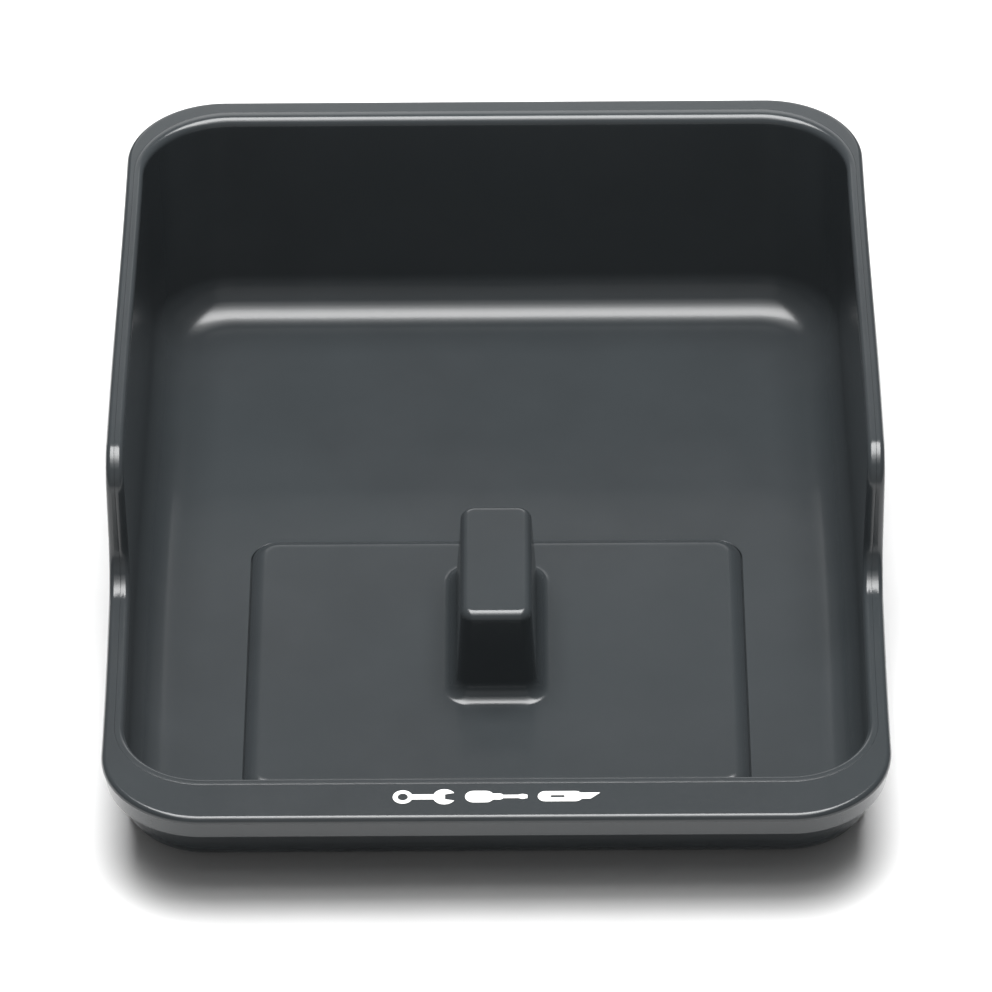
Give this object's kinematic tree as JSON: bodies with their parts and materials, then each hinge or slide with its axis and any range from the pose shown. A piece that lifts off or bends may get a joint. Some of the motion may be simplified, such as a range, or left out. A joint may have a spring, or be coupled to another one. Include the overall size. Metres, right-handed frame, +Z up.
{
  "type": "tool storage caddy",
  "caption": "Open plastic tool caddy with a high back, a low front with a wide printed ledge, and a lift-out floor plate with a grip lug.",
  "frame": {"origin": "on the ground under the middle of the rim's outline, level with the undersides of the feet", "axes": "+X is the caddy's right seen from its low front, +Y points to the high back, +Z is up"},
  "size_m": [0.2316, 0.2956, 0.074],
  "materials": {
    "charcoal_tub": "satin moulded, very fine grain",
    "charcoal_frame": "satin moulded, very fine grain",
    "charcoal_plate": "satin moulded, very fine grain",
    "white_ink": "flat printed ink",
    "foot_rubber": "soft, matt"
  },
  "bodies": {
    "tray": {"tray_tub": "charcoal_tub", "rim_frame": "charcoal_frame", "legend_spanner": "white_ink", "legend_screwdriver": "white_ink", "legend_knife": "white_ink", "foot_front_left": "foot_rubber", "foot_front_right": "foot_rubber", "foot_back_left": "foot_rubber", "foot_back_right": "foot_rubber"},
    "plate": {"grip_plate": "charcoal_plate"}
  },
  "joints": [
    {"name": "plate_lift", "type": "slide", "parent": "tray", "child": "plate", "axis": [0, 0, 1], "range_m": [0, 0.08]}
  ]
}
